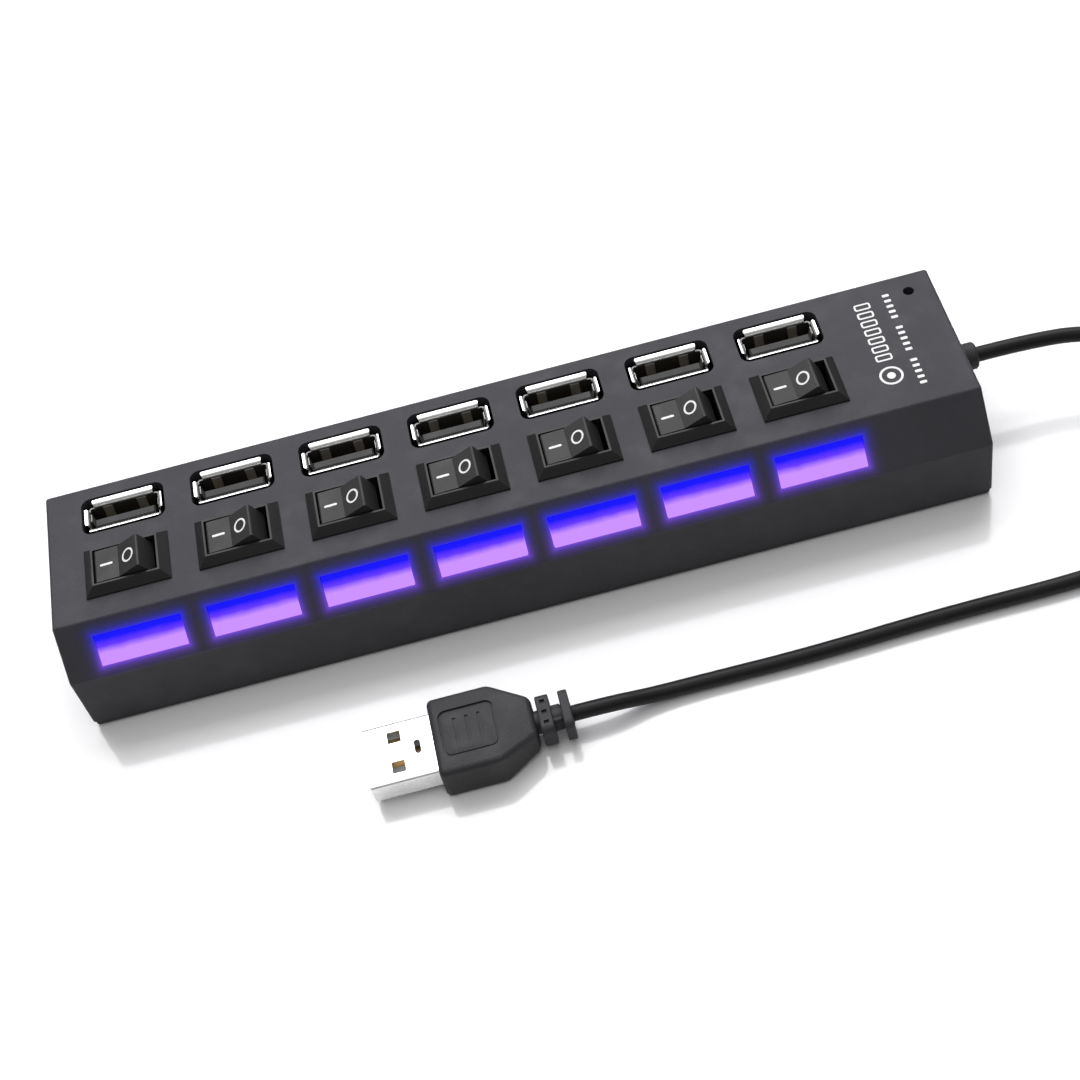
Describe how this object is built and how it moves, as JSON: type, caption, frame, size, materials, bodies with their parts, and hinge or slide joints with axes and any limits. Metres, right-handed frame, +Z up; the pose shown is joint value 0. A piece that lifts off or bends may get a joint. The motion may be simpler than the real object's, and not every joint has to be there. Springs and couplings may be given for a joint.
{
  "type": "usb hub",
  "caption": "Long desk hub with a row of upright type A sockets, each with its own rocker switch and lit window, and a captive lead ending in a type A plug.",
  "frame": {"origin": "under the middle of the case, on the surface that its feet stand on; the lead, its strain relief and plug aside", "axes": "+X along the case towards the end that the lead leaves, -Y the side with the lit windows, +Z up"},
  "size_m": [0.2275, 0.0758, 0.0256],
  "materials": {
    "case_plastic": "fine grained charcoal moulding",
    "base_plastic": "satin black moulding",
    "board": "green solder mask",
    "bright_metal": "bright nickel plate",
    "tinned_metal": "tinned strip",
    "gold_contact": "gold flash",
    "white_plastic": "off-white moulding",
    "black_plastic": "plain black moulding",
    "switch_plastic": "satin black moulding",
    "rocker_plastic": "satin black moulding with white marks",
    "light_window": "clear window lit blue to violet",
    "lamp": "lit blue lamp",
    "dark_lamp": "unlit lamp",
    "chip_resin": "moulded resin",
    "capacitor_sleeve": "printed sleeve without print",
    "cable_jacket": "satin black jacket",
    "tie_strap": "soft black strap",
    "plug_grip": "fine matt over-moulding",
    "foot_rubber": "matt rubber",
    "screw_steel": "zinc plated",
    "wire_sleeve": "coloured sleeves"
  },
  "bodies": {
    "case": {"top_cover": "case_plastic", "bottom_cover": "base_plastic", "circuit_board": "board", "port_contacts": "gold_contact", "switch_terminals": "tinned_metal", "light_strip": "light_window", "port_leds": "lamp", "power_led": "dark_lamp", "hub_controllers": "chip_resin", "capacitors": "capacitor_sleeve", "crystal": "bright_metal", "dc_jack_housing": "black_plastic", "dc_jack_pin": "bright_metal", "strain_relief": "cable_jacket", "cable_lead": "cable_jacket", "cable_coil": "cable_jacket", "cable_tail": "cable_jacket", "cable_tie": "tie_strap", "plug_body": "plug_grip", "plug_shell": "bright_metal", "plug_insulator": "white_plastic", "plug_contacts": "gold_contact", "rubber_feet": "foot_rubber", "case_screws": "screw_steel", "lead_wires": "wire_sleeve", "port_shell_1": "bright_metal", "port_insulator_1": "black_plastic", "switch_frame_1": "switch_plastic", "port_shell_2": "bright_metal", "port_insulator_2": "black_plastic", "switch_frame_2": "switch_plastic", "port_shell_3": "bright_metal", "port_insulator_3": "black_plastic", "switch_frame_3": "switch_plastic", "port_shell_4": "bright_metal", "port_insulator_4": "black_plastic", "switch_frame_4": "switch_plastic", "port_shell_5": "bright_metal", "port_insulator_5": "black_plastic", "switch_frame_5": "switch_plastic", "port_shell_6": "bright_metal", "port_insulator_6": "black_plastic", "switch_frame_6": "switch_plastic", "port_shell_7": "bright_metal", "port_insulator_7": "black_plastic", "switch_frame_7": "switch_plastic"},
    "rocker_body_1": {"rocker_1": "rocker_plastic"},
    "lever_body_1": {"contact_lever_1": "tinned_metal"},
    "rocker_body_2": {"rocker_2": "rocker_plastic"},
    "lever_body_2": {"contact_lever_2": "tinned_metal"},
    "rocker_body_3": {"rocker_3": "rocker_plastic"},
    "lever_body_3": {"contact_lever_3": "tinned_metal"},
    "rocker_body_4": {"rocker_4": "rocker_plastic"},
    "lever_body_4": {"contact_lever_4": "tinned_metal"},
    "rocker_body_5": {"rocker_5": "rocker_plastic"},
    "lever_body_5": {"contact_lever_5": "tinned_metal"},
    "rocker_body_6": {"rocker_6": "rocker_plastic"},
    "lever_body_6": {"contact_lever_6": "tinned_metal"},
    "rocker_body_7": {"rocker_7": "rocker_plastic"},
    "lever_body_7": {"contact_lever_7": "tinned_metal"}
  },
  "joints": [
    {"name": "rocker_1_tilt", "type": "hinge", "parent": "case", "child": "rocker_body_1", "pos_m": [-0.0683, -0.0052, 0.0196], "axis": [0, 1, 0], "range_deg": [0, 28]},
    {"name": "lever_1_tilt", "type": "hinge", "parent": "case", "child": "lever_body_1", "pos_m": [-0.0683, -0.0052, 0.0146], "axis": [0, 1, 0], "range_deg": [-16, 0]},
    {"name": "rocker_2_tilt", "type": "hinge", "parent": "case", "child": "rocker_body_2", "pos_m": [-0.0481, -0.0052, 0.0196], "axis": [0, 1, 0], "range_deg": [0, 28]},
    {"name": "lever_2_tilt", "type": "hinge", "parent": "case", "child": "lever_body_2", "pos_m": [-0.0481, -0.0052, 0.0146], "axis": [0, 1, 0], "range_deg": [-16, 0]},
    {"name": "rocker_3_tilt", "type": "hinge", "parent": "case", "child": "rocker_body_3", "pos_m": [-0.0279, -0.0052, 0.0196], "axis": [0, 1, 0], "range_deg": [0, 28]},
    {"name": "lever_3_tilt", "type": "hinge", "parent": "case", "child": "lever_body_3", "pos_m": [-0.0279, -0.0052, 0.0146], "axis": [0, 1, 0], "range_deg": [-16, 0]},
    {"name": "rocker_4_tilt", "type": "hinge", "parent": "case", "child": "rocker_body_4", "pos_m": [-0.0077, -0.0052, 0.0196], "axis": [0, 1, 0], "range_deg": [0, 28]},
    {"name": "lever_4_tilt", "type": "hinge", "parent": "case", "child": "lever_body_4", "pos_m": [-0.0077, -0.0052, 0.0146], "axis": [0, 1, 0], "range_deg": [-16, 0]},
    {"name": "rocker_5_tilt", "type": "hinge", "parent": "case", "child": "rocker_body_5", "pos_m": [0.0125, -0.0052, 0.0196], "axis": [0, 1, 0], "range_deg": [0, 28]},
    {"name": "lever_5_tilt", "type": "hinge", "parent": "case", "child": "lever_body_5", "pos_m": [0.0125, -0.0052, 0.0146], "axis": [0, 1, 0], "range_deg": [-16, 0]},
    {"name": "rocker_6_tilt", "type": "hinge", "parent": "case", "child": "rocker_body_6", "pos_m": [0.0327, -0.0052, 0.0196], "axis": [0, 1, 0], "range_deg": [0, 28]},
    {"name": "lever_6_tilt", "type": "hinge", "parent": "case", "child": "lever_body_6", "pos_m": [0.0327, -0.0052, 0.0146], "axis": [0, 1, 0], "range_deg": [-16, 0]},
    {"name": "rocker_7_tilt", "type": "hinge", "parent": "case", "child": "rocker_body_7", "pos_m": [0.0529, -0.0052, 0.0196], "axis": [0, 1, 0], "range_deg": [0, 28]},
    {"name": "lever_7_tilt", "type": "hinge", "parent": "case", "child": "lever_body_7", "pos_m": [0.0529, -0.0052, 0.0146], "axis": [0, 1, 0], "range_deg": [-16, 0]}
  ],
  "couplings": [
    {"joint": "lever_1_tilt", "follows": "rocker_1_tilt", "ratio": -0.5714},
    {"joint": "lever_2_tilt", "follows": "rocker_2_tilt", "ratio": -0.5714},
    {"joint": "lever_3_tilt", "follows": "rocker_3_tilt", "ratio": -0.5714},
    {"joint": "lever_4_tilt", "follows": "rocker_4_tilt", "ratio": -0.5714},
    {"joint": "lever_5_tilt", "follows": "rocker_5_tilt", "ratio": -0.5714},
    {"joint": "lever_6_tilt", "follows": "rocker_6_tilt", "ratio": -0.5714},
    {"joint": "lever_7_tilt", "follows": "rocker_7_tilt", "ratio": -0.5714}
  ]
}
